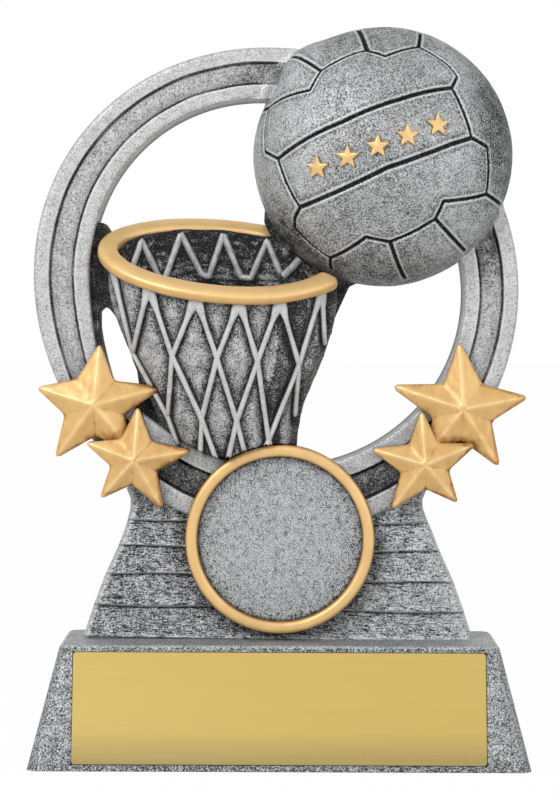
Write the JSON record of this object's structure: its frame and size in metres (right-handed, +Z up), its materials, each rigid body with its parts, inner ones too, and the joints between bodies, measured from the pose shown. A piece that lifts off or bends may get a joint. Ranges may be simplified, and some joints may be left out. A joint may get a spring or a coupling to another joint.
{
  "type": "netball award trophy",
  "caption": "Free-standing relief award: a ball above a hoop and net in an open arch with stars, a medallion recess, and a tapered plinth with a blank nameplate.",
  "frame": {"origin": "on the resting face, under the middle of the plinth", "axes": "+Z up, +X to the right as seen from the front, and the front with the nameplate faces -Y"},
  "size_m": [0.0805, 0.036, 0.1195],
  "materials": {
    "antique_silver": "cast resin with rubbed silver paint over dark patina, finely speckled",
    "dark_silver": "cast resin with dark patina left in the hollows, streaky silver on the high spots",
    "bright_silver": "rubbed silver paint on raised cords",
    "gold_paint": "hand-brushed satin gold paint, browner toward the edges",
    "satin_gold_plate": "satin anodised, blank",
    "adhesive_tape": "thin double-sided tape",
    "felt": "black baize"
  },
  "bodies": {
    "root": {"felt_pad": "felt", "plinth": "antique_silver", "nameplate_tape": "adhesive_tape", "nameplate": "satin_gold_plate", "pedestal": "antique_silver", "arch": "antique_silver", "left_web": "dark_silver", "ball_web": "dark_silver", "net_basket": "dark_silver", "net_cords_front": "bright_silver", "net_cords_inside": "bright_silver", "hoop_rim": "gold_paint", "ball": "antique_silver", "ball_band_stars": "gold_paint", "medallion_disc": "antique_silver", "medallion_rim": "gold_paint", "star_left_large": "gold_paint", "star_left_small": "gold_paint", "star_right_large": "gold_paint", "star_right_small": "gold_paint"}
  },
  "joints": []
}
